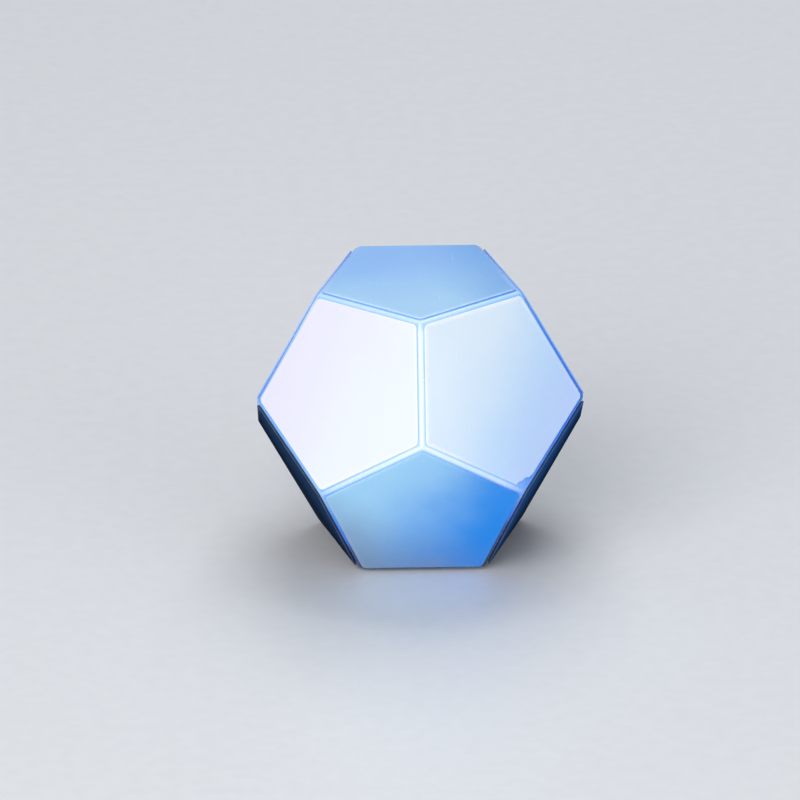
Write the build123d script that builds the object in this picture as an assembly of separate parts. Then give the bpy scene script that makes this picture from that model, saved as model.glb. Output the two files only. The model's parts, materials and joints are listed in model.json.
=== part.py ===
from build123d import *
import math
import os

# Face-turning dodecahedron puzzle. Twelve whole-face tiles turn in place, five clicks to a
# turn. Each tile sits on a round carrier, and a sprung screw pulls the carrier down into its
# pocket in a two-part shell. Millimetres, +Z up, -Y is the front. The origin is the middle
# of the base tile's face, on the surface that the puzzle stands on.
#
# Every piece that repeats once per face is modelled on the +Z axis, with z counted from the
# body's centre out through the face and +X towards a corner of the pentagon, and then
# placed on each face.

# ---- the body ----
edge_length = 30.0  # of the sharp dodecahedron that the tiles' outer faces lie on
face_count_round_ring = 5
sides = 5

# ---- tiles ----
seam_setback = 1.1  # from the sharp edge to the tile's own edge
tile_thickness = 0.55
tile_corner_radius = 1.2
tile_rim_radius = 0.25
spigot_radius = 4.9
spigot_wall = 1.0
spigot_length = 3.05
peg_radius = 0.8
peg_length = 1.2
peg_offset = 10.5

# ---- shell ----
under_tile_gap = 0.105  # between a tile's underside and the shell's faces
shell_wall = 4.2
pocket_radius = 17.4
pocket_depth = 2.0
boss_radius = 2.1
boss_height = 4.0
dowel_ring_radius = 31.9
dowel_radius = 1.0
dowel_length = 5.0
dowel_side_gap = 0.04
dowel_end_gap = 0.15

# ---- carriers ----
carrier_radius = 17.15
carrier_lift = 0.05  # running gap between the carrier and the pocket's floor
carrier_rim_chamfer = 0.3
stem_radius = 6.8
stem_hole_gap = 0.08
stem_bottom = 15.0  # from the body's centre
stem_floor = 2.2
bore_radius = 5.0
screw_way_radius = 1.7
peg_gap = 0.1

# ---- magnets ----
magnet_radius = 1.5
magnet_height = 1.2
magnet_ring_radius = 14.5
magnet_side_gap = 0.05

# ---- core, inserts, screws, washers and springs ----
hub_radius = 9.5
arm_radius = 3.6
arm_gap = 0.15  # between an arm's end and the carrier's stem
insert_radius = 2.1
insert_length = 5.35
insert_bore_radius = 1.5
insert_side_gap = 0.05
screw_radius = 1.45
screw_tip = 8.0
screw_head_radius = 2.75
screw_head_height = 2.2
screw_head_edge = 0.4
screw_seat = 24.6  # where the head bears on the spring cap
socket_width = 2.5  # across the flats
socket_depth = 1.3
pilot_radius = 1.6
pilot_bottom = 7.0
cap_radius = 4.2
cap_thickness = 0.6
thrust_washer_radius = 4.6
thrust_washer_thickness = 0.55
washer_hole_radius = 1.6
bearing_gap = 0.05
spring_radius = 3.4  # to the wire's centre
wire_radius = 0.45
spring_coils = 4.5

# ---- worked out ----
corner_step = 360 / sides
half_corner = math.radians(corner_step / 2)
face_inradius = edge_length / (2 * math.tan(half_corner))
dihedral_half = math.atan((1 + math.sqrt(5)) / 2)
body_inradius = face_inradius * math.tan(dihedral_half)
ring_tilt = math.degrees(math.atan(0.5))
centre_height = body_inradius
tile_under = body_inradius - tile_thickness
tile_inradius = face_inradius - seam_setback
shell_inradius = tile_under - under_tile_gap
pocket_floor = shell_inradius - pocket_depth
carrier_under = pocket_floor + carrier_lift
carrier_floor = stem_bottom + stem_floor
arm_end = stem_bottom - arm_gap
insert_bottom = arm_end - insert_length
shell_magnet_top = pocket_floor - bearing_gap
shell_magnet_floor = shell_magnet_top - magnet_height
carrier_magnet_bottom = carrier_under + bearing_gap
carrier_magnet_top = carrier_magnet_bottom + magnet_height
cap_under = screw_seat - cap_thickness
thrust_under = carrier_floor + bearing_gap
thrust_top = thrust_under + thrust_washer_thickness
spring_bottom = thrust_top + bearing_gap
spring_top = cap_under - bearing_gap

# face name: (turn about +Z from the front, tilt above the horizon), degrees
FACES = {
    "top": (0, 90),
    "upper_front_left": (-36, ring_tilt),
    "upper_front_right": (36, ring_tilt),
    "upper_left": (-108, ring_tilt),
    "upper_right": (108, ring_tilt),
    "upper_back": (180, ring_tilt),
    "lower_front": (0, -ring_tilt),
    "lower_left": (-72, -ring_tilt),
    "lower_right": (72, -ring_tilt),
    "lower_back_left": (-144, -ring_tilt),
    "lower_back_right": (144, -ring_tilt),
    "base": (180, -90),
}


def face_place(name):
    """The face's own frame: origin at the body's centre, z out of the face, x to a corner."""
    turn, tilt = (math.radians(angle) for angle in FACES[name])
    side = math.copysign(1, tilt)
    outward = Vector(
        math.sin(turn) * math.cos(tilt), -math.cos(turn) * math.cos(tilt), math.sin(tilt)
    )
    to_corner = Vector(
        math.sin(turn) * math.sin(tilt), -math.cos(turn) * math.sin(tilt), -math.cos(tilt)
    )
    return Plane((0, 0, centre_height), x_dir=to_corner * side, z_dir=outward).location


PLACES = {name: face_place(name) for name in FACES}


def rod(radius, bottom, top):
    """A cylinder on the z axis between two heights."""
    return Pos(0, 0, (bottom + top) / 2) * Cylinder(radius, top - bottom)


def ring_of(shape, radius, count=sides, start=0.0):
    """Copies of a shape, evenly spaced on a circle about the z axis."""
    return [
        Rot(0, 0, start + k * 360 / count) * Pos(radius, 0, 0) * shape for k in range(count)
    ]


def pentagon(inradius, height):
    """A pentagonal wire at a height, with a corner on +X."""
    corner = inradius / math.cos(half_corner)
    points = [
        (
            corner * math.cos(math.radians(k * corner_step)),
            corner * math.sin(math.radians(k * corner_step)),
            height,
        )
        for k in range(sides)
    ]
    return Wire.make_polygon(points, close=True)


def tile():
    """Pentagonal plate whose sides point at the body's centre, with a spigot and two pegs."""
    under_inradius = tile_inradius * tile_under / body_inradius
    plate = Solid.make_loft(
        [pentagon(under_inradius, tile_under), pentagon(tile_inradius, body_inradius)]
    )
    corners = plate.edges() - plate.edges().filter_by(Plane.XY)
    plate = fillet(corners, tile_corner_radius)
    rim = plate.faces().sort_by(Axis.Z)[-1].edges()
    plate = fillet(rim, tile_rim_radius)
    spigot_end = tile_under - spigot_length
    spigot = rod(spigot_radius, spigot_end, tile_under)
    spigot -= rod(spigot_radius - spigot_wall, spigot_end, tile_under)
    pegs = ring_of(rod(peg_radius, tile_under - peg_length, tile_under), peg_offset, count=2)
    return plate + spigot + pegs


def carrier():
    """Round flange and hollow stem that turn with the tile."""
    flange = chamfer(
        rod(carrier_radius, carrier_under, tile_under).edges(), carrier_rim_chamfer
    )
    body = flange + rod(stem_radius, stem_bottom, tile_under)
    body -= rod(bore_radius, carrier_floor, tile_under)
    body -= rod(screw_way_radius, stem_bottom, carrier_floor)
    magnet_way = rod(magnet_radius + magnet_side_gap, carrier_under, carrier_magnet_top)
    body -= ring_of(magnet_way, magnet_ring_radius, start=corner_step / 2)
    peg_way = rod(peg_radius + peg_gap, tile_under - peg_length - peg_gap, tile_under)
    return body - ring_of(peg_way, peg_offset, count=2)


def magnets(bottom):
    """The five disc magnets that set a face's five clicks."""
    disc = rod(magnet_radius, bottom, bottom + magnet_height)
    return ring_of(disc, magnet_ring_radius, start=corner_step / 2)


def spring():
    """Compression spring with ground ends."""
    height = spring_top - spring_bottom
    path = Helix(pitch=height / spring_coils, height=height, radius=spring_radius)
    section = Plane(path @ 0, z_dir=path % 0) * Circle(wire_radius)
    coil = Pos(0, 0, spring_bottom) * sweep(section, path=path, is_frenet=True)
    slab = rod(spring_radius + 2 * wire_radius, spring_bottom, spring_top)
    return coil & slab


def washer(radius, bottom, top):
    """Flat washer round the screw."""
    return rod(radius, bottom, top) - rod(washer_hole_radius, bottom, top)


def screw():
    """Pan-head screw with a hexagon socket; its thread is left plain."""
    head_top = screw_seat + screw_head_height
    head = rod(screw_head_radius, screw_seat, head_top)
    head = fillet(head.edges().sort_by(Axis.Z)[-1], screw_head_edge)
    socket = RegularPolygon(socket_width / 2, 6, major_radius=False)
    head -= Pos(0, 0, head_top - socket_depth) * extrude(socket, socket_depth)
    return head + rod(screw_radius, screw_tip, screw_seat)


def insert():
    """Threaded brass bush in the end of a core arm."""
    bush = rod(insert_radius, insert_bottom, arm_end)
    return bush - rod(insert_bore_radius, insert_bottom, arm_end)


def on_every_face(shapes):
    """One list of the shapes, placed on all twelve faces."""
    return [place * shape for place in PLACES.values() for shape in shapes]


def core_hub():
    """Ball with twelve arms, which all the screws pull against."""
    hub = Pos(0, 0, centre_height) * Sphere(hub_radius)
    hub += on_every_face([rod(arm_radius, 0, arm_end)])
    hub -= on_every_face([rod(insert_radius + insert_side_gap, insert_bottom, arm_end)])
    return hub - on_every_face([rod(pilot_radius, pilot_bottom, insert_bottom)])


def dodecahedron(inradius):
    """Regular dodecahedron about the body's centre."""
    size = inradius / body_inradius
    faces = [
        Face(place * pentagon(face_inradius * size, inradius)) for place in PLACES.values()
    ]
    return Solid(Shell(faces))


def dowel_places():
    """Places on the parting plane, behind the middles of the ten edges that cross it."""
    count = 2 * face_count_round_ring
    step = 360 / count
    ring = Pos(0, 0, centre_height)
    return [
        ring * Rot(0, 0, step / 2 + k * step) * Pos(0, -dowel_ring_radius, 0)
        for k in range(count)
    ]


def shell():
    """The whole hollow shell, before it is parted."""
    body = dodecahedron(shell_inradius) - dodecahedron(shell_inradius - shell_wall)
    body += [place * rod(boss_radius, -boss_height, boss_height) for place in dowel_places()]
    body -= on_every_face([rod(pocket_radius, pocket_floor, tile_under)])
    body -= on_every_face([rod(stem_radius + stem_hole_gap, stem_bottom, tile_under)])
    magnet_way = rod(magnet_radius + magnet_side_gap, shell_magnet_floor, tile_under)
    body -= on_every_face(ring_of(magnet_way, magnet_ring_radius, start=corner_step / 2))
    reach = dowel_length / 2 + dowel_end_gap
    dowel_way = rod(dowel_radius + dowel_side_gap, -reach, reach)
    return body - [place * dowel_way for place in dowel_places()]


def dowels():
    """Ten pins that line up the two shell halves."""
    pin = rod(dowel_radius, -dowel_length / 2, dowel_length / 2)
    pin = chamfer(pin.edges(), dowel_end_gap)
    return [place * pin for place in dowel_places()]


def write(name, shapes):
    """One STEP file for a node: a single solid, or a group of separate ones."""
    shape = Compound(shapes) if isinstance(shapes, list) else shapes
    export_step(shape, f"parts/{name}.step")


def write_face_pieces():
    """The pieces that every face has its own node of."""
    one_tile = tile()
    one_carrier = carrier()
    one_spring = spring()
    face_magnets = magnets(carrier_magnet_bottom)
    for name, place in PLACES.items():
        write(f"{name}_tile", place * one_tile)
        write(f"{name}_carrier", place * one_carrier)
        write(f"{name}_spring", place * one_spring)
        write(f"{name}_magnets", [place * disc for disc in face_magnets])


def write_middle_pieces():
    """The shell, the core and the groups of like hardware."""
    whole = shell()
    parting = Plane((0, 0, centre_height))
    write("upper_shell", split(whole, bisect_by=parting, keep=Keep.TOP))
    write("lower_shell", split(whole, bisect_by=parting, keep=Keep.BOTTOM))
    write("core_hub", core_hub())
    write("core_inserts", on_every_face([insert()]))
    write("axle_screws", on_every_face([screw()]))
    write("spring_caps", on_every_face([washer(cap_radius, cap_under, screw_seat)]))
    thrust = washer(thrust_washer_radius, thrust_under, thrust_top)
    write("thrust_washers", on_every_face([thrust]))
    write("shell_magnets", on_every_face(magnets(shell_magnet_floor)))
    write("shell_dowels", dowels())


os.makedirs("parts", exist_ok=True)
write_face_pieces()
write_middle_pieces()
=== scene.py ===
import json
import math

import bmesh
import bpy
from mathutils import Matrix, Vector


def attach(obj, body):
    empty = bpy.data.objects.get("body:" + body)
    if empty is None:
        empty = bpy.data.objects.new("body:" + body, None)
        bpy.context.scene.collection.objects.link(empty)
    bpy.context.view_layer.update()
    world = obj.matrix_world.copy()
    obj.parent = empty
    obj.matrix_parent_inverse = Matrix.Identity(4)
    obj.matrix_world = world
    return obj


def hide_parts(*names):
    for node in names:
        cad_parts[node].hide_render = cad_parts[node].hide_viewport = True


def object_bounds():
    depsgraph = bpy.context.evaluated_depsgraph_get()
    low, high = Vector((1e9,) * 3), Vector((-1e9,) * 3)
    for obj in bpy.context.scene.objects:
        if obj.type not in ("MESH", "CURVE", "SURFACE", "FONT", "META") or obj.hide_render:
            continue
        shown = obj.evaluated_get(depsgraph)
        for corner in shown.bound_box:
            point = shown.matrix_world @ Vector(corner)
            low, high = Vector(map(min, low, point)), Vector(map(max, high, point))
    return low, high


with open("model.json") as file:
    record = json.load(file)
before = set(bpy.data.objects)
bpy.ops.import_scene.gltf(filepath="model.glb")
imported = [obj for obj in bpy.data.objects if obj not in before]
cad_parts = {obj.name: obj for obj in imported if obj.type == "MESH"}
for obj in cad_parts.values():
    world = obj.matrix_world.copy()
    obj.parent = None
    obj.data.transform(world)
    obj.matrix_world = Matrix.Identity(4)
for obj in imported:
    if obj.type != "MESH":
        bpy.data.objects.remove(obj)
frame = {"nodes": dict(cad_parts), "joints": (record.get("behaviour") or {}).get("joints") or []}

# A face-turning dodecahedron puzzle: twelve milky tiles with painted light and shade from white to blue,
# over a blue shell with painted light and shade, whose ridges show between them. The pieces inside keep
# their CAD shapes.

MM = 0.001

# ---- places and sizes taken from the frame ----
CAD_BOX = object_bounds()
CENTRE = (CAD_BOX[0] + CAD_BOX[1]) / 2
INRADIUS = (CAD_BOX[1].z - CAD_BOX[0].z) / 2
SIDES = 5
HALF_CORNER = math.pi / SIDES
GOLDEN = (1 + math.sqrt(5)) / 2
EDGE = INRADIUS * 2 * math.tan(HALF_CORNER) / GOLDEN
FACE_INRADIUS = EDGE / (2 * math.tan(HALF_CORNER))

# ---- tiles ----
SEAM = 1.1 * MM
TILE_THICKNESS = 0.55 * MM
TILE_UNDER = INRADIUS - TILE_THICKNESS
TILE_INRADIUS = FACE_INRADIUS - SEAM
TILE_CORNER_RADIUS = 1.2 * MM
TILE_RIM = 0.34 * MM  # how far the rounding of the rim reaches over the top
TILE_UNDER_RIM = 0.05 * MM
CROWN = 0.1 * MM  # how much higher the middle stands than the rim
CROWN_RINGS = (0.985, 0.95, 0.86, 0.72, 0.54, 0.34, 0.16)  # as shares of the rim's size
SPIGOT_RADIUS = 4.9 * MM
SPIGOT_WALL = 1.0 * MM
SPIGOT_LENGTH = 3.05 * MM
PEG_RADIUS = 0.8 * MM
PEG_LENGTH = 1.2 * MM
PEG_OFFSET = 10.5 * MM
EMBED = 0.1 * MM  # how far pieces that become one reach into each other

# ---- wear: bites out of the lower corner of one tile, and a nick in the front ridge ----
WORN_TILE = "upper_front_right"
WORN_BITES = [
    (23.73 * MM, -2.08 * MM, INRADIUS, 1.0 * MM),
    (23.66 * MM, -0.50 * MM, INRADIUS, 1.6 * MM),
    (23.80 * MM, 1.47 * MM, INRADIUS, 2.1 * MM),
    (23.07 * MM, 3.22 * MM, INRADIUS, 1.5 * MM),
    (22.32 * MM, 4.63 * MM, INRADIUS, 1.2 * MM),
]
NICK = [(0.35 * MM, -31.95 * MM, 54.6 * MM, 0.42 * MM), (0.3 * MM, -32.3 * MM, 54.0 * MM, 0.30 * MM)]

# ---- shell ----
UNDER_TILE_GAP = 0.105 * MM
SHELL_INRADIUS = TILE_UNDER - UNDER_TILE_GAP
SHELL_WALL = 4.2 * MM
RIDGE_ROUNDING = 0.65 * MM
FLAT_TOLERANCE = 0.004 * MM  # a point nearer than this to a face plane is on the flat
RIDGE_DISTANCE = SHELL_INRADIUS / math.sin(math.atan(GOLDEN))  # from the centre to a ridge's middle
POCKET_RADIUS = 17.4 * MM
POCKET_DEPTH = 2.0 * MM
POCKET_FLOOR = SHELL_INRADIUS - POCKET_DEPTH
STEM_HOLE_RADIUS = 6.88 * MM
MAGNET_HOLE_RADIUS = 1.55 * MM
MAGNET_HOLE_DEPTH = 1.25 * MM
MAGNET_HOLE_FLOOR = POCKET_FLOOR - MAGNET_HOLE_DEPTH
MAGNET_RING = 14.5 * MM
BOSS_RADIUS = 2.1 * MM
BOSS_HEIGHT = 4.0 * MM
BOSS_RING = 31.9 * MM
DOWEL_HOLE_RADIUS = 1.04 * MM
DOWEL_HOLE_REACH = 2.65 * MM

# ---- camera ----
CAMERA_ANGLES = (-0.54, 24.14, -0.53)  # turn to the right, rise and roll, in degrees
LENS_ANGLE = 5.43  # degrees across the picture
CAMERA_DISTANCE = 2.0
CAMERA_ASIDE = -4.7 * MM  # where the lens points, to the right of the body's centre
CAMERA_RAISE = 1.6 * MM  # and above it

# ---- room ----
FLOOR_SIZE = 8
ROOM_COLOUR = (0.80, 0.84, 0.90, 1)
ROOM_STRENGTH = 0.30


# ---------------------------------------------------------------- mesh helpers


def select_only(*objects):
    """Deselect everything, then select these and make the first one active."""
    bpy.ops.object.select_all(action="DESELECT")
    for obj in objects:
        obj.select_set(True)
    bpy.context.view_layer.objects.active = objects[0]


def start_edit(obj, kind="FACE"):
    """Edit mode with nothing selected."""
    select_only(obj)
    bpy.ops.object.mode_set(mode="EDIT")
    bpy.ops.mesh.select_mode(type=kind)
    bpy.ops.mesh.select_all(action="DESELECT")


def pick(obj, kind, test):
    """In edit mode, select just the faces or edges that pass a test."""
    bpy.ops.mesh.select_mode(type=kind)
    bpy.ops.mesh.select_all(action="DESELECT")
    mesh = bmesh.from_edit_mesh(obj.data)
    for element in mesh.faces if kind == "FACE" else mesh.edges:
        element.select_set(test(element))
    bmesh.update_edit_mesh(obj.data)


def end_edit():
    bpy.ops.object.mode_set(mode="OBJECT")


def settle(obj):
    """Put the object's place into its mesh."""
    select_only(obj)
    bpy.ops.object.transform_apply(location=True, rotation=True, scale=True)
    return obj


def rod(radius, bottom, top, place=None, sides=64):
    """A cylinder on the z axis of a place, between two heights."""
    bpy.ops.mesh.primitive_cylinder_add(
        vertices=sides, radius=radius, depth=top - bottom, location=(0, 0, (bottom + top) / 2)
    )
    obj = settle(bpy.context.object)
    if place is not None:
        obj.data.transform(place)
    return obj


def join(objects):
    """One object out of several."""
    select_only(*objects)
    bpy.ops.object.join()
    return bpy.context.object


def cut(obj, tool, operation="DIFFERENCE"):
    """Boolean by another object, which is used up."""
    modifier = obj.modifiers.new("cut", "BOOLEAN")
    modifier.object = tool
    modifier.operation = operation
    modifier.solver = "EXACT"
    select_only(obj)
    bpy.ops.object.modifier_apply(modifier=modifier.name)
    bpy.data.objects.remove(tool)
    return obj


def smooth(obj, angle=35):
    """Smooth shading but for edges sharper than the angle, in degrees."""
    select_only(obj)
    bpy.ops.object.shade_smooth_by_angle(angle=math.radians(angle))
    return obj


def tidy(obj):
    """Merge doubles and point the faces outwards."""
    start_edit(obj)
    bpy.ops.mesh.select_all(action="SELECT")
    bpy.ops.mesh.remove_doubles(threshold=0.001 * MM)
    bpy.ops.mesh.normals_make_consistent(inside=False)
    end_edit()
    return obj


# ---------------------------------------------------------------- places of the faces


def corner_way(normal):
    """The direction from a face's middle to one of its corners."""
    side = math.copysign(1, normal.z)
    if abs(normal.z) > 0.9:
        return Vector((0, -side, 0))
    return ((normal.z * normal - Vector((0, 0, 1))) * side).normalized()


def face_place(normal):
    """Matrix of a face's own frame: origin at the body's centre, z out of the face."""
    across = corner_way(normal)
    turn = Matrix((across, normal.cross(across), normal)).transposed()
    return Matrix.Translation(CENTRE) @ turn.to_4x4()


NORMALS = {
    joint["name"].removesuffix("_turn"): Vector(joint["axis"]).normalized()
    for joint in frame["joints"]
}
PLACES = {name: face_place(normal) for name, normal in NORMALS.items()}
# the corner where the two upper front tiles meet the lower front one
FRONT_FACES = ("upper_front_left", "upper_front_right", "lower_front")
FRONT_CORNER = CENTRE + math.sqrt(3) / 2 * GOLDEN * EDGE * (
    sum((NORMALS[name] for name in FRONT_FACES), Vector((0, 0, 0))).normalized()
)


# ---------------------------------------------------------------- node helpers


class Finish:
    """A material under construction, with short calls for its nodes."""

    def __init__(self, name):
        self.material = bpy.data.materials.new(name)
        self.material.use_nodes = True
        self.tree = self.material.node_tree
        self.tree.nodes.clear()
        self.shader = self.tree.nodes.new("ShaderNodeBsdfPrincipled")
        output = self.tree.nodes.new("ShaderNodeOutputMaterial")
        self.tree.links.new(self.shader.outputs[0], output.inputs[0])
        self.place = self.tree.nodes.new("ShaderNodeTexCoord").outputs["Object"]

    def put(self, socket, value):
        """Link a value to a socket if it is an output, or else set it."""
        if isinstance(value, bpy.types.NodeSocket):
            self.tree.links.new(value, socket)
        elif socket.type == "RGBA" and len(value) == 3:
            socket.default_value = (*value, 1)
        else:
            socket.default_value = value

    def set(self, **values):
        """Set or link the shader's own sockets, named with underscores for spaces."""
        for name, value in values.items():
            self.put(self.shader.inputs[name.replace("_", " ")], value)

    def math(self, operation, a, b=0.0, clamp=False):
        node = self.tree.nodes.new("ShaderNodeMath")
        node.operation = operation
        node.use_clamp = clamp
        self.put(node.inputs[0], a)
        self.put(node.inputs[1], b)
        return node.outputs[0]

    def along(self, way, origin, reach):
        """0 to 1 along a direction, from -reach to +reach about a point."""
        dot = self.tree.nodes.new("ShaderNodeVectorMath")
        dot.operation = "DOT_PRODUCT"
        self.put(dot.inputs[0], self.place)
        self.put(dot.inputs[1], way)
        scaled = self.math("SUBTRACT", dot.outputs["Value"], origin.dot(way) - reach)
        return self.math("MULTIPLY", scaled, 0.5 / reach)

    def distance(self, point):
        """Metres from a point."""
        node = self.tree.nodes.new("ShaderNodeVectorMath")
        node.operation = "DISTANCE"
        self.put(node.inputs[0], self.place)
        self.put(node.inputs[1], point)
        return node.outputs["Value"]

    def noise(self, size, detail=2.0, roughness=0.5, stretch=None):
        """Noise whose features are about this many metres across."""
        place = self.place
        if stretch is not None:
            mapping = self.tree.nodes.new("ShaderNodeMapping")
            self.put(mapping.inputs["Vector"], place)
            self.put(mapping.inputs["Rotation"], stretch[0])
            self.put(mapping.inputs["Scale"], stretch[1])
            place = mapping.outputs[0]
        node = self.tree.nodes.new("ShaderNodeTexNoise")
        self.put(node.inputs["Vector"], place)
        self.put(node.inputs["Scale"], 1 / size)
        self.put(node.inputs["Detail"], detail)
        self.put(node.inputs["Roughness"], roughness)
        return node.outputs[0]

    def spread(self, value, low, high, to_low=0.0, to_high=1.0, soft=True):
        """Map a stretch of a value onto another, held at both ends."""
        node = self.tree.nodes.new("ShaderNodeMapRange")
        node.interpolation_type = "SMOOTHSTEP" if soft else "LINEAR"
        for socket, given in zip(node.inputs, (value, low, high, to_low, to_high)):
            self.put(socket, given)
        return node.outputs[0]

    def ramp(self, value, *stops):
        """A colour ramp from (place, colour) stops."""
        node = self.tree.nodes.new("ShaderNodeValToRGB")
        node.color_ramp.interpolation = "EASE"
        elements = node.color_ramp.elements
        while len(elements) < len(stops):
            elements.new(1.0)
        for element, (place, colour) in zip(elements, stops):
            element.position = place
            element.color = (*colour, 1)
        self.put(node.inputs[0], value)
        return node.outputs[0]

    def mix(self, share, first, second, blend="MIX"):
        node = self.tree.nodes.new("ShaderNodeMix")
        node.data_type = "RGBA"
        node.blend_type = blend
        self.put(node.inputs["Factor"], share)
        self.put(node.inputs[6], first)
        self.put(node.inputs[7], second)
        return node.outputs[2]

    def attribute(self, name):
        node = self.tree.nodes.new("ShaderNodeAttribute")
        node.attribute_name = name
        return node.outputs["Fac"]

    def bump(self, height, strength, distance):
        node = self.tree.nodes.new("ShaderNodeBump")
        self.put(node.inputs["Height"], height)
        self.put(node.inputs["Strength"], strength)
        self.put(node.inputs["Distance"], distance)
        self.tree.links.new(node.outputs[0], self.shader.inputs["Normal"])


# ---------------------------------------------------------------- finishes

# tile: painted lit end, painted shaded end, second painted shade, way to the lit end, way to the
# second shade, polish, rim's paleness (a painted highlight); the navy of the lower tiles is painted
# shade
PAINTED_LIGHT_AND_SHADE = {
    "upper_front_left": (
        (0.86, 0.92, 0.98), (0.83, 0.83, 0.96), (0.81, 0.80, 0.96),
        (1, -1, -0.4), (-1, 0, 0.2), 0.3, 0.5,
    ),
    "upper_front_right": (
        (0.76, 0.88, 1.00), (0.50, 0.71, 1.00), (0.50, 0.64, 1.00),
        (-0.8, -0.4, 1), (1, 0, -0.7), 1.0, 1.0,
    ),
    "top": (
        (0.42, 0.69, 1.00), (0.29, 0.54, 1.00), (0.18, 0.42, 0.86),
        (0.25, -1, 0), (1, 0.25, 0), 1.0, 0.2,
    ),
    "lower_front": (
        (0.38, 0.70, 1.00), (0.01, 0.27, 0.88), (0.20, 0.30, 0.46),
        (-1, 0, 0.5), (-0.6, 0, -1), 0.6, 0.1,
    ),
    "upper_left": (
        (0.42, 0.56, 0.98), (0.16, 0.32, 0.84), (0.30, 0.36, 0.78),
        (0, -1, 0.4), (-0.4, 0, -1), 1.0, 0.3,
    ),
    "upper_right": (
        (0.22, 0.48, 1.00), (0.06, 0.22, 0.84), (0.18, 0.28, 0.72),
        (0, -1, 0.4), (0.4, 0, -1), 1.0, 0.3,
    ),
    "upper_back": (
        (0.14, 0.34, 0.92), (0.04, 0.13, 0.56), (0.10, 0.17, 0.48),
        (0, 0, 1), (0.6, 0, -1), 0.9, 0.3,
    ),
    "lower_left": (
        (0.016, 0.042, 0.100), (0.006, 0.014, 0.036), (0.020, 0.030, 0.050),
        (0, -1, 0.5), (0, 1, -1), 0.0, 0.1,
    ),
    "lower_right": (
        (0.014, 0.060, 0.190), (0.005, 0.014, 0.040), (0.016, 0.028, 0.052),
        (0, -1, 0.5), (0, 1, -1), 0.0, 0.1,
    ),
    "lower_back_left": (
        (0.014, 0.036, 0.110), (0.004, 0.012, 0.040), (0.010, 0.020, 0.052),
        (-1, 0, 0.6), (0, 1, -1), 0.3, 0.1,
    ),
    "lower_back_right": (
        (0.012, 0.038, 0.120), (0.004, 0.012, 0.044), (0.010, 0.022, 0.058),
        (1, 0, 0.6), (0, 1, -1), 0.3, 0.1,
    ),
    "base": (
        (0.024, 0.090, 0.320), (0.006, 0.024, 0.100), (0.016, 0.050, 0.160),
        (0, -1, 0), (1, 0.4, 0), 0.5, 0.2,
    ),
}


def tile_finish(name):
    """Milky polished plastic with painted light and shade across the tile, a painted highlight on the
    rim, a faint painted glow and faint wear.
    """
    light, dark, second_painted_shade, painted_light_way, second_painted_shade_way, polish, paleness = PAINTED_LIGHT_AND_SHADE[name]
    normal = NORMALS[name]
    middle = CENTRE + normal * INRADIUS
    painted_light_way, second_painted_shade_way = (
        (Vector(way) - Vector(way).dot(normal) * normal).normalized()
        for way in (painted_light_way, second_painted_shade_way)
    )
    finish = Finish(f"{name}_tile_plastic")
    cloud = finish.noise(22 * MM, detail=3)
    drift = finish.math("MULTIPLY", finish.math("SUBTRACT", cloud, 0.5), 0.45)
    # painted light and shade: from the shaded end to the lit end across the tile, with a random drift
    painted_light_level = finish.math("ADD", finish.along(painted_light_way, middle, TILE_INRADIUS), drift)
    colour = finish.ramp(painted_light_level, (0.08, dark), (0.92, light))
    # a second painted shade towards one side of the tile
    second_painted_shade_share = finish.math("ADD", finish.along(second_painted_shade_way, middle, TILE_INRADIUS), drift)
    colour = finish.mix(finish.spread(second_painted_shade_share, 0.50, 1.10, 0, 0.85), colour, second_painted_shade)
    grain = finish.noise(1.4 * MM, detail=4, roughness=0.6)
    colour = finish.mix(finish.spread(grain, 0.3, 0.7, 0, 0.05), colour, (0.9, 0.95, 1.0), "SOFT_LIGHT")
    # painted highlight: the rim is paler in patches, most towards the lit end
    rim = finish.attribute("rim")
    rim_painted_highlight = finish.spread(finish.noise(3.2 * MM, detail=4), 0.35, 0.65, 0.6 * paleness, paleness)
    rim_painted_highlight = finish.math("MULTIPLY", rim_painted_highlight, finish.spread(painted_light_level, 0.35, 0.75, 0.10, 1.0))
    pale = finish.mix(0.75, colour, (0.95, 0.97, 1.0))
    colour = finish.mix(finish.math("MULTIPLY", rim, rim_painted_highlight), colour, pale)
    # the colour is also given out as a faint painted glow
    finish.set(Base_Color=colour, Emission_Color=colour)
    finish.set(Emission_Strength=0.05, IOR=1.49, Subsurface_Weight=0.12, Subsurface_Scale=1.5 * MM)
    finish.set(Subsurface_Radius=(0.6, 0.8, 1.0), Coat_Weight=0.35 * polish, Coat_Roughness=0.06)
    finish.set(Specular_IOR_Level=0.5 * polish)
    hair = finish.noise(0.5 * MM, detail=3, stretch=((0.3, 0.5, 0.8), (1, 0.04, 0.04)))
    smear = finish.noise(9 * MM, detail=3)
    smeared = finish.spread(smear, 0.3, 0.7, 0.14, 0.22)
    gloss = finish.math("ADD", smeared, finish.spread(hair, 0.55, 0.8, 0, 0.10))
    finish.set(Roughness=finish.math("ADD", gloss, finish.math("MULTIPLY", rim, 0.06)))
    finish.bump(finish.math("ADD", grain, finish.math("MULTIPLY", hair, 0.5)), 0.04, 0.02 * MM)
    return finish.material


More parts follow.
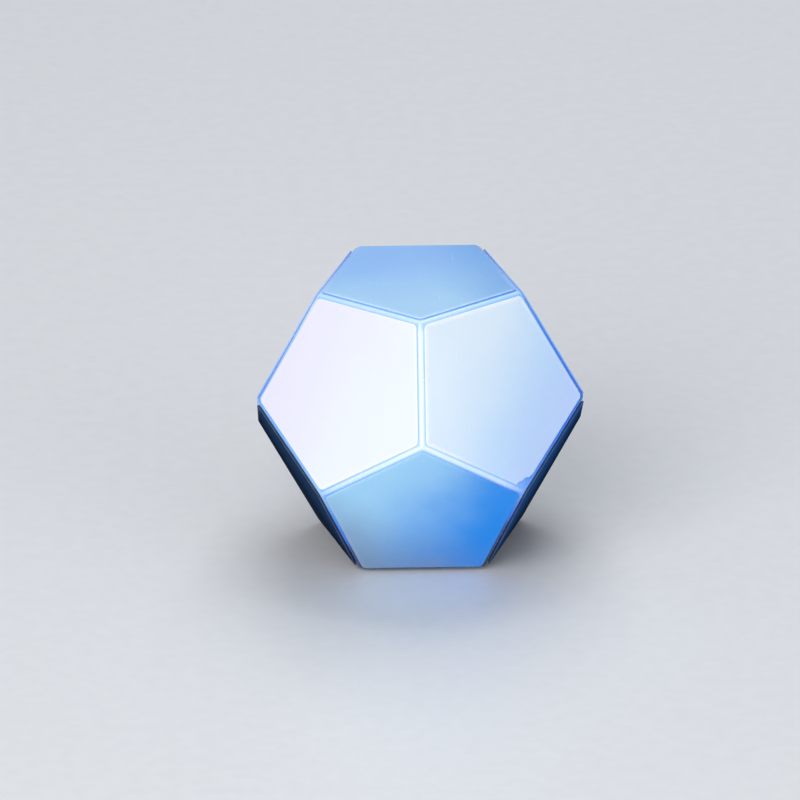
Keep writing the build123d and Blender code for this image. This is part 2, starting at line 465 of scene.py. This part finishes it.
def shell_finish():
    """Blue polished plastic with painted light and shade, near white towards the front pole, light blue
    round the top tile.
    """
    finish = Finish("shell_plastic")
    # painted light and shade: near white towards the front pole, through blue to navy away from it
    pole = Vector((-0.18, -0.75, 0.63)).normalized()
    cloud = finish.math("MULTIPLY", finish.math("SUBTRACT", finish.noise(14 * MM), 0.5), 0.04)
    painted_light_level = finish.math("ADD", finish.along(pole, CENTRE, RIDGE_DISTANCE), cloud)
    colour = finish.ramp(
        painted_light_level,
        (0.40, (0.006, 0.020, 0.070)),
        (0.54, (0.012, 0.070, 0.300)),
        (0.62, (0.025, 0.220, 0.900)),
        (0.70, (0.060, 0.320, 1.000)),
        (0.78, (0.200, 0.480, 1.000)),
        (0.84, (0.360, 0.640, 1.000)),
        (0.89, (0.640, 0.820, 1.000)),
        (0.94, (0.920, 0.960, 1.000)),
    )
    # painted light and shade: light blue at the height of the top tile
    height = finish.along(Vector((0, 0, 1)), CENTRE, INRADIUS)
    colour = finish.mix(finish.spread(height, 0.95, 0.98, 0, 0.75), colour, (0.46, 0.70, 1.0))
    # painted highlight: pale along the three ridges that meet at the front corner
    near = finish.distance(FRONT_CORNER)
    colour = finish.mix(finish.spread(near, 0.75 * EDGE, 1.12 * EDGE, 0.7, 0), colour, (0.78, 0.90, 1.0))
    # painted shade: bluer on the flats between the ridges and the tiles
    between = finish.mix(1.0, colour, (0.66, 0.84, 1.0), "MULTIPLY")
    colour = finish.mix(finish.attribute("ridge"), between, colour)
    speck = finish.spread(finish.noise(0.7 * MM, detail=2), 0.72, 0.75)
    colour = finish.mix(finish.math("MULTIPLY", speck, 0.6), colour, (0.85, 0.92, 1.0))
    grain = finish.noise(0.9 * MM, detail=4)
    # the colour is also given out as a faint painted glow
    finish.set(Base_Color=colour, Emission_Color=colour, Emission_Strength=0.06, IOR=1.49)
    finish.set(Subsurface_Weight=0.1, Subsurface_Scale=1.0 * MM, Subsurface_Radius=(0.5, 0.8, 1.0))
    finish.set(Coat_Weight=0.3, Coat_Roughness=0.08)
    finish.set(Roughness=finish.spread(grain, 0.3, 0.7, 0.16, 0.30))
    finish.bump(grain, 0.05, 0.02 * MM)
    return finish.material


def moulded(name, colour, roughness, grain_size):
    """Moulded plastic with a fine grain and slight flow marks."""
    finish = Finish(name)
    flow = finish.noise(8 * MM, detail=3, stretch=((0.2, 0.4, 0.1), (1, 0.4, 1)))
    grain = finish.noise(grain_size, detail=4, roughness=0.6)
    darker = tuple(0.8 * part for part in colour)
    finish.set(Base_Color=finish.mix(finish.spread(flow, 0.35, 0.65, 0, 0.6), colour, darker))
    finish.set(Roughness=finish.spread(grain, 0.3, 0.7, roughness - 0.07, roughness + 0.07))
    finish.set(IOR=1.48, Subsurface_Weight=0.05, Subsurface_Scale=1.0 * MM)
    finish.bump(grain, 0.12, 0.02 * MM)
    return finish.material


def metal(name, colour, roughness, line_size, stretch):
    """Metal with fine lines from its making, and a little tarnish."""
    finish = Finish(name)
    lines = finish.noise(line_size, detail=3, stretch=((0, 0, 0), stretch))
    tarnish = finish.noise(2.5 * MM, detail=4)
    dull = tuple(0.72 * part for part in colour)
    finish.set(Base_Color=finish.mix(finish.spread(tarnish, 0.4, 0.7, 0, 0.7), colour, dull))
    finish.set(Metallic=1.0)
    finish.set(Roughness=finish.spread(lines, 0.3, 0.7, roughness - 0.08, roughness + 0.10))
    finish.bump(lines, 0.10, 0.01 * MM)
    return finish.material


def dress(obj, material):
    """Give an object one material, in place of any it has."""
    obj.data.materials.clear()
    obj.data.materials.append(material)


# ---------------------------------------------------------------- tiles


def side_distance(point):
    """How far out a point lies, across the pentagon's sides."""
    return max(
        point.x * math.cos((2 * k + 1) * HALF_CORNER) + point.y * math.sin((2 * k + 1) * HALF_CORNER)
        for k in range(SIDES)
    )


def crown_tile(obj):
    """Rings on the tile's top that rise to the middle, so that it is slightly domed."""
    start_edit(obj)
    pick(obj, "FACE", lambda f: f.normal.z > 0.99 and len(f.verts) > SIDES)
    reach = 1.0
    for share in CROWN_RINGS:
        bpy.ops.mesh.inset(thickness=0)
        step = share / reach
        rise = CROWN * (reach**2 - share**2)
        bpy.ops.transform.resize(value=(step, step, 1), center_override=(0, 0, INRADIUS))
        bpy.ops.transform.translate(value=(0, 0, rise))
        reach = share
    end_edit()


def mark_rim(obj):
    """A value on each point: 1 on the rounded rim and 0 from just inside it."""
    rim = obj.data.attributes.new("rim", "FLOAT", "POINT")
    start = 0.98 * (TILE_INRADIUS - TILE_RIM)
    for point, value in zip(obj.data.vertices, rim.data):
        inside = side_distance(point.co) < start
        value.value = 0.0 if inside or point.co.z < TILE_UNDER - EMBED else 1.0


def tile_master():
    """One tile on the z axis, with a corner towards +X."""
    under = TILE_INRADIUS * TILE_UNDER / INRADIUS
    top = INRADIUS - CROWN
    bpy.ops.mesh.primitive_cone_add(
        vertices=SIDES,
        radius1=under / math.cos(HALF_CORNER),
        radius2=TILE_INRADIUS / math.cos(HALF_CORNER),
        depth=top - TILE_UNDER,
        location=(0, 0, (top + TILE_UNDER) / 2),
        rotation=(0, 0, -math.pi / 2),
    )
    obj = settle(bpy.context.object)
    start_edit(obj, "EDGE")
    pick(obj, "EDGE", lambda e: abs(e.verts[0].co.z - e.verts[1].co.z) > TILE_THICKNESS / 2)
    bpy.ops.mesh.bevel(
        offset=TILE_CORNER_RADIUS * math.tan(HALF_CORNER), segments=8, affect="EDGES"
    )
    level = (top + TILE_UNDER) / 2
    pick(obj, "EDGE", lambda e: all(v.co.z > level for v in e.verts))
    bpy.ops.mesh.bevel(offset=TILE_RIM, segments=5, affect="EDGES")
    pick(obj, "EDGE", lambda e: all(v.co.z < TILE_UNDER + TILE_UNDER_RIM / 2 for v in e.verts))
    bpy.ops.mesh.bevel(offset=TILE_UNDER_RIM, segments=2, affect="EDGES")
    end_edit()
    crown_tile(obj)
    foot = TILE_UNDER - SPIGOT_LENGTH
    spigot = rod(SPIGOT_RADIUS, foot, TILE_UNDER + EMBED)
    cut(spigot, rod(SPIGOT_RADIUS - SPIGOT_WALL, foot - EMBED, TILE_UNDER))
    pegs = [
        rod(PEG_RADIUS, TILE_UNDER - PEG_LENGTH, TILE_UNDER + EMBED, Matrix.Translation((x, 0, 0)), 24)
        for x in (PEG_OFFSET, -PEG_OFFSET)
    ]
    cut(obj, join([spigot, *pegs]), "UNION")
    mark_rim(tidy(obj))
    return smooth(obj)


def chip(obj, place, bites):
    """Small bites out of an object, each a ball: (x, y, z, radius) in a place."""
    for x, y, z, radius in bites:
        bpy.ops.mesh.primitive_ico_sphere_add(subdivisions=3, radius=radius, location=(x, y, z))
        bite = settle(bpy.context.object)
        bite.data.transform(place)
        cut(obj, bite)


def make_tiles():
    """Twelve copies of the tile, each on its face with its own painted light and shade."""
    master = tile_master()
    for name, place in PLACES.items():
        tile = bpy.data.objects.new(f"{name}_shaded_tile", master.data.copy())
        bpy.context.scene.collection.objects.link(tile)
        tile.data.transform(place)
        if name == WORN_TILE:
            chip(tile, place, WORN_BITES)
        dress(tile, tile_finish(name))
        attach(tile, f"{name}_face")
        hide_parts(f"{name}_tile")
    bpy.data.objects.remove(master)


# ---------------------------------------------------------------- shell


def dodecahedron(inradius):
    """A block cut down by the twelve face planes."""
    bpy.ops.mesh.primitive_cube_add(size=4 * inradius, location=CENTRE)
    obj = settle(bpy.context.object)
    start_edit(obj)
    for normal in NORMALS.values():
        bpy.ops.mesh.select_all(action="SELECT")
        bpy.ops.mesh.bisect(
            plane_co=CENTRE + normal * inradius, plane_no=normal, use_fill=True, clear_outer=True
        )
    end_edit()
    return obj


def on_every_face(radius, bottom, top, sides, ring=0.0):
    """Cylinders on all faces, joined: one on the axis, or five on a ring round it."""
    shapes = []
    for place in PLACES.values():
        turns = [(2 * k + 1) * HALF_CORNER for k in range(SIDES)] if ring else [0.0]
        for turn in turns:
            spot = Matrix.Rotation(turn, 4, "Z") @ Matrix.Translation((ring, 0, 0))
            shapes.append(rod(radius, bottom, top, place @ spot, sides))
    return join(shapes)


def on_parting_ring(radius, reach, sides):
    """Upright cylinders across the parting plane, behind the ten edges that cross it."""
    count = 2 * SIDES
    shapes = []
    for k in range(count):
        turn = Matrix.Rotation((2 * k + 1) * math.pi / count, 4, "Z")
        spot = Matrix.Translation(CENTRE) @ turn @ Matrix.Translation((0, -BOSS_RING, 0))
        shapes.append(rod(radius, -reach, reach, spot, sides))
    return join(shapes)


def whole_shell():
    """The hollow body with rounded ridges, twelve pockets and all its holes."""
    body = dodecahedron(SHELL_INRADIUS)
    start_edit(body, "EDGE")
    bpy.ops.mesh.select_all(action="SELECT")
    bpy.ops.mesh.bevel(offset=RIDGE_ROUNDING, segments=4, affect="EDGES")
    end_edit()
    cut(body, dodecahedron(SHELL_INRADIUS - SHELL_WALL))
    cut(body, on_parting_ring(BOSS_RADIUS, BOSS_HEIGHT, 32), "UNION")
    cut(body, on_every_face(POCKET_RADIUS, POCKET_FLOOR, INRADIUS, 96))
    cut(body, on_every_face(STEM_HOLE_RADIUS, INRADIUS / 2, INRADIUS, 64))
    cut(body, on_every_face(MAGNET_HOLE_RADIUS, MAGNET_HOLE_FLOOR, INRADIUS, 24, MAGNET_RING))
    return cut(body, on_parting_ring(DOWEL_HOLE_RADIUS, DOWEL_HOLE_REACH, 24))


def mark_ridges(obj):
    """A value on each point: 1 on the rounded ridges and 0 elsewhere."""
    ridge = obj.data.attributes.new("ridge", "FLOAT", "POINT")
    for point, value in zip(obj.data.vertices, ridge.data):
        height = max((point.co - CENTRE).dot(normal) for normal in NORMALS.values())
        value.value = 1.0 if -RIDGE_ROUNDING < height - SHELL_INRADIUS < -FLAT_TOLERANCE else 0.0


def make_shells():
    """The two halves of the shell, parted at mid-height."""
    whole = whole_shell()
    finish = shell_finish()
    size = 4 * INRADIUS
    for name, side in (("upper_shell", 1), ("lower_shell", -1)):
        half = bpy.data.objects.new(f"{name}_body", whole.data.copy())
        bpy.context.scene.collection.objects.link(half)
        bpy.ops.mesh.primitive_cube_add(size=size, location=CENTRE - Vector((0, 0, side * size / 2)))
        cut(half, settle(bpy.context.object))
        if side > 0:
            chip(half, Matrix(), NICK)
        mark_ridges(tidy(half))
        smooth(half, 30)
        dress(half, finish)
        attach(half, "core")
        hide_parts(name)
    bpy.data.objects.remove(whole)


# ---------------------------------------------------------------- pieces inside


def dress_inner_pieces():
    """Finishes for the CAD nodes that keep their shape."""
    round_lines = (1, 1, 8)
    carrier = moulded("carrier_plastic", (0.62, 0.74, 0.92), 0.42, 0.5 * MM)
    core = moulded("core_plastic", (0.80, 0.82, 0.85), 0.45, 0.6 * MM)
    acetal = moulded("acetal", (0.86, 0.84, 0.78), 0.35, 0.4 * MM)
    wire = metal("spring_wire", (0.56, 0.57, 0.60), 0.28, 0.3 * MM, round_lines)
    zinc = metal("zinc_plated_steel", (0.60, 0.61, 0.66), 0.34, 0.3 * MM, round_lines)
    stamped = metal("stamped_steel", (0.62, 0.62, 0.64), 0.30, 0.25 * MM, round_lines)
    nickel = metal("nickel_plate", (0.72, 0.70, 0.66), 0.20, 0.2 * MM, round_lines)
    ground = metal("ground_steel", (0.64, 0.65, 0.67), 0.22, 0.15 * MM, round_lines)
    brass = metal("turned_brass", (0.78, 0.56, 0.22), 0.26, 0.2 * MM, round_lines)
    finishes = {
        "core_hub": core,
        "core_inserts": brass,
        "axle_screws": zinc,
        "spring_caps": stamped,
        "thrust_washers": acetal,
        "shell_magnets": nickel,
        "shell_dowels": ground,
    }
    for name in NORMALS:
        finishes[f"{name}_carrier"] = carrier
        finishes[f"{name}_magnets"] = nickel
        finishes[f"{name}_spring"] = wire
    for node, material in finishes.items():
        dress(frame["nodes"][node], material)


# ---------------------------------------------------------------- room, light and camera


def make_floor():
    """A plain pale floor."""
    bpy.ops.mesh.primitive_plane_add(size=FLOOR_SIZE, location=(0, 0, 0))
    floor = settle(bpy.context.object)
    floor.name = "floor"
    finish = Finish("floor_paint")
    grain = finish.noise(4 * MM, detail=4)
    finish.set(Base_Color=finish.ramp(grain, (0.3, (0.73, 0.74, 0.76)), (0.7, (0.75, 0.76, 0.78))))
    finish.set(Roughness=0.45)
    dress(floor, finish.material)


def soft_light(name, way, distance, size, power, colour):
    """A square lamp that faces the body from a direction."""
    lamp = bpy.data.lights.new(name, "AREA")
    lamp.size = size
    lamp.energy = power
    lamp.color = colour
    obj = bpy.data.objects.new(name, lamp)
    away = Vector(way).normalized()
    obj.location = CENTRE + away * distance
    obj.rotation_euler = away.to_track_quat("Z", "Y").to_euler()
    bpy.context.scene.collection.objects.link(obj)


def make_light():
    """A soft key from the front left, a weak fill, a lamp overhead and a pale room."""
    soft_light("key", (-0.55, -1.0, 0.75), 1.2, 1.0, 10, (1.0, 0.99, 0.98))
    soft_light("fill", (1.0, -0.9, 0.35), 1.3, 1.0, 4.5, (0.90, 0.95, 1.0))
    soft_light("overhead", (0.1, 0.6, 1.0), 1.2, 0.9, 7, (0.94, 0.97, 1.0))
    world = bpy.data.worlds.new("room")
    world.use_nodes = True
    background = world.node_tree.nodes["Background"]
    background.inputs["Color"].default_value = ROOM_COLOUR
    background.inputs["Strength"].default_value = ROOM_STRENGTH
    bpy.context.scene.world = world
    bpy.context.scene.view_settings.view_transform = "Standard"


def make_camera():
    """A long lens a little above the body, in front of the edge between two faces."""
    turn, rise, roll = (math.radians(angle) for angle in CAMERA_ANGLES)
    towards = Vector(
        (math.sin(turn) * math.cos(rise), -math.cos(turn) * math.cos(rise), math.sin(rise))
    )
    right = Vector((math.cos(turn), math.sin(turn), 0))
    up = towards.cross(right)
    lens = bpy.data.cameras.new("camera")
    lens.angle = math.radians(LENS_ANGLE)
    camera = bpy.data.objects.new("camera", lens)
    target = CENTRE + right * CAMERA_ASIDE + up * CAMERA_RAISE
    level = Matrix((right, up, towards)).transposed().to_4x4()
    camera.matrix_world = (
        Matrix.Translation(target + towards * CAMERA_DISTANCE) @ level @ Matrix.Rotation(roll, 4, "Z")
    )
    bpy.context.scene.collection.objects.link(camera)
    bpy.context.scene.camera = camera


make_camera()
make_floor()
make_light()
make_tiles()
make_shells()
dress_inner_pieces()
